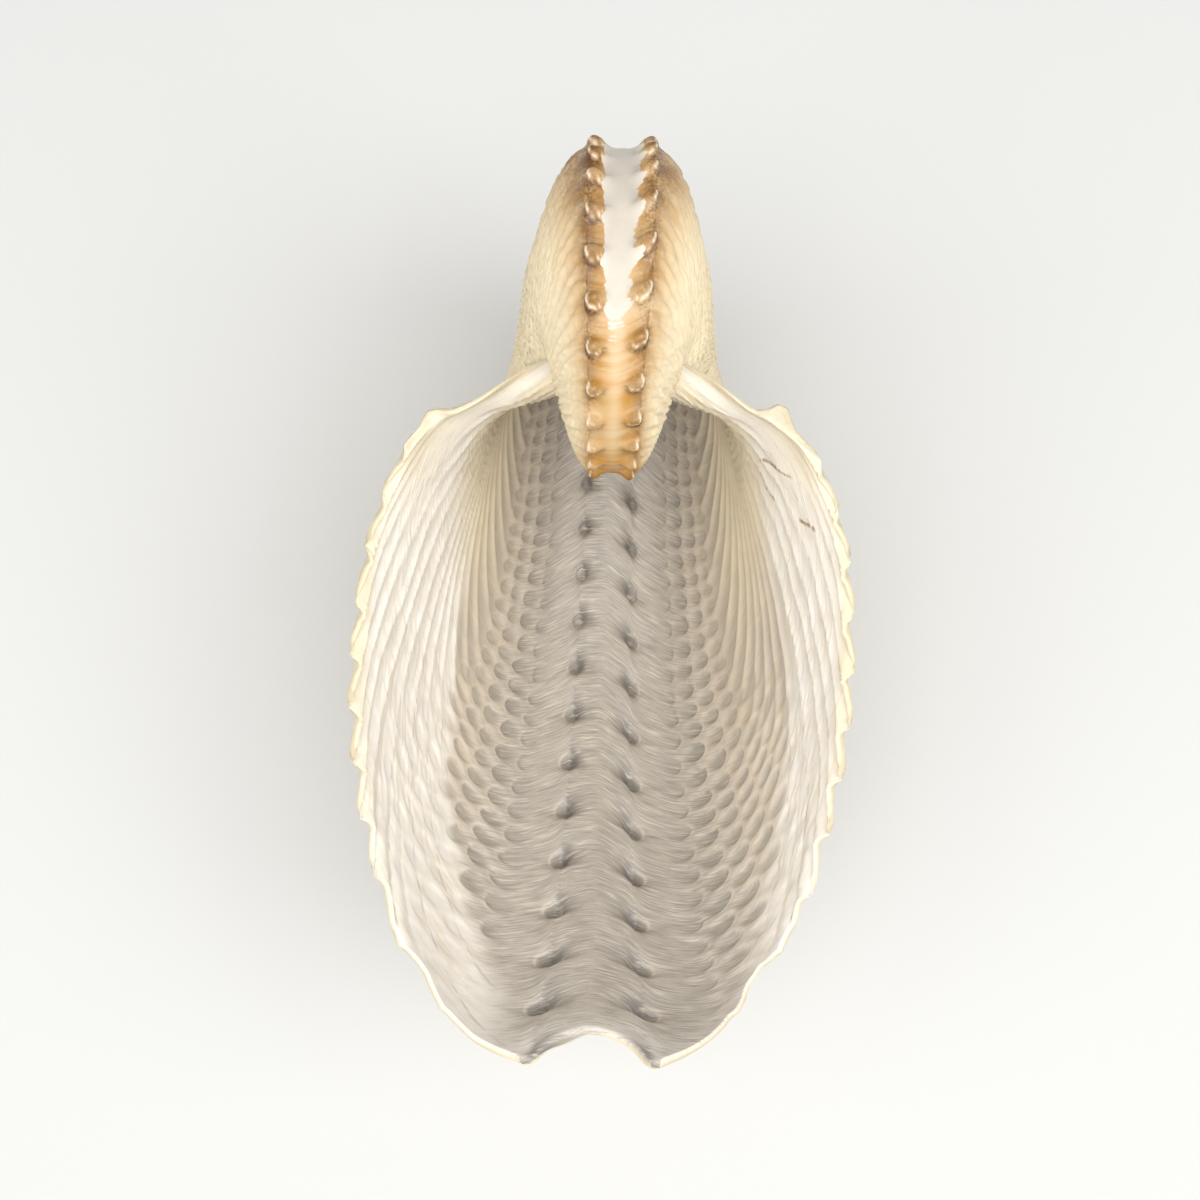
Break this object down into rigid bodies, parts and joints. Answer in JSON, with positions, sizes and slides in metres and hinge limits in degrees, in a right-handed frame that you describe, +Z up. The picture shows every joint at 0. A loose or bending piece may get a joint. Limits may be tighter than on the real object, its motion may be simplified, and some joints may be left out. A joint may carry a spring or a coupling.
{
  "type": "argonaut shell",
  "caption": "Thin knobbed argonaut shell: a ribbed, boat-shaped spiral shell with a narrow keel edged by two rows of knobs, resting on a small flat spot with its aperture facing up.",
  "frame": {"origin": "centre of the bounding box in plan, on the surface that the shell rests on", "axes": "+Z up, +Y from the lip towards the coiled end, +X towards the right-hand flank seen from above with the coil at the top"},
  "size_m": [0.0875, 0.1618, 0.1042],
  "materials": {
    "calcite": "thin, slightly translucent cream calcite with a satin surface, tan to dark brown along the keel's knob rows on the coil"
  },
  "bodies": {
    "root": {"shell": "calcite"}
  },
  "joints": []
}
